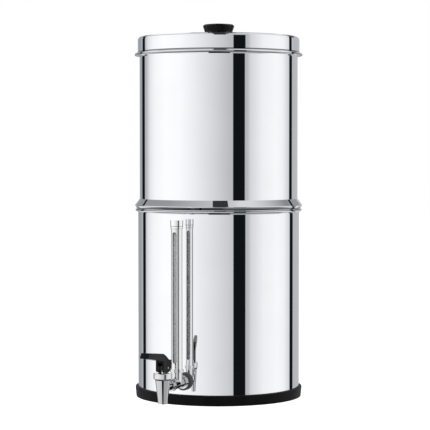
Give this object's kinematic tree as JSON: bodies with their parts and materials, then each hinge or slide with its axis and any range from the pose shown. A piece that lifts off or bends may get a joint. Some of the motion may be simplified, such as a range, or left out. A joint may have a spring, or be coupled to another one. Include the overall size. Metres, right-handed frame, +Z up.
{
  "type": "gravity water filter with tap",
  "caption": "Polished steel gravity water filter: stacked chambers, lid with a knob, rubber base ring, lever tap and steel-sleeved sight gauge.",
  "frame": {"origin": "centre of the underside of the base ring, on the drum's axis", "axes": "+Z up along the drum's axis; -Y is the direction in which the tap points; +X is to the right when the tap is seen from in front"},
  "size_m": [0.2164, 0.3243, 0.4805],
  "materials": {
    "polished_steel": "mirror polished stainless steel",
    "tap_steel": "polished stainless steel",
    "fastener_steel": "turned steel",
    "black_rubber": "moulded, semi-matte",
    "knob_plastic": "glossy moulded plastic",
    "lever_plastic": "semi-gloss moulded plastic",
    "silicone": "translucent white silicone",
    "gauge_glass": "clear drawn glass tube",
    "carbon": "pressed carbon block",
    "blue_resin": "moulded food-grade plastic"
  },
  "bodies": {
    "lower": {"base_ring": "black_rubber", "lower_chamber": "polished_steel", "gauge_tee": "tap_steel", "tap_outer_washer": "black_rubber", "tap_inner_washer": "silicone", "tap_lock_nut": "lever_plastic", "tee_washer": "black_rubber", "tap_body": "tap_steel", "tap_bonnet": "tap_steel", "bonnet_seal": "silicone", "stem_spring": "fastener_steel", "gauge_sleeve": "tap_steel", "gauge_glass": "gauge_glass", "gauge_nut": "tap_steel", "gauge_cap": "tap_steel", "gauge_lower_seal": "silicone", "gauge_upper_seal": "silicone"},
    "upper": {"upper_chamber": "polished_steel", "carbon_block_left": "carbon", "carbon_block_right": "carbon", "element_cap_left": "blue_resin", "element_cap_right": "blue_resin", "element_base_left": "blue_resin", "element_base_right": "blue_resin", "element_seals": "silicone", "wing_nuts": "blue_resin", "hole_plugs": "blue_resin", "plug_washers": "silicone", "plug_nuts": "blue_resin"},
    "lid": {"lid": "polished_steel", "lid_knob": "knob_plastic", "knob_screw": "fastener_steel", "knob_washer": "fastener_steel"},
    "stem": {"tap_stem": "tap_steel", "seat_cup": "silicone"},
    "lever": {"tap_lever": "lever_plastic", "lever_pin": "tap_steel"}
  },
  "joints": [
    {"name": "upper_lift", "type": "slide", "parent": "lower", "child": "upper", "axis": [0, 0, 1], "range_m": [0, 0.07]},
    {"name": "lid_lift", "type": "slide", "parent": "upper", "child": "lid", "axis": [0, 0, 1], "range_m": [0, 0.06]},
    {"name": "stem_lift", "type": "slide", "parent": "lower", "child": "stem", "axis": [0, 0, 1], "range_m": [0, 0.003], "deforming": ["stem_spring"]},
    {"name": "lever_tilt", "type": "hinge", "parent": "stem", "child": "lever", "pos_m": [0, -0.1617, 0.0534], "axis": [1, 0, 0], "range_deg": [0, 32], "stiffness_Nm_per_rad": 0.05, "springref_deg": -57.3}
  ],
  "couplings": [
    {"joint": "lever_tilt", "follows": "stem_lift", "rad_per_m": 186}
  ]
}
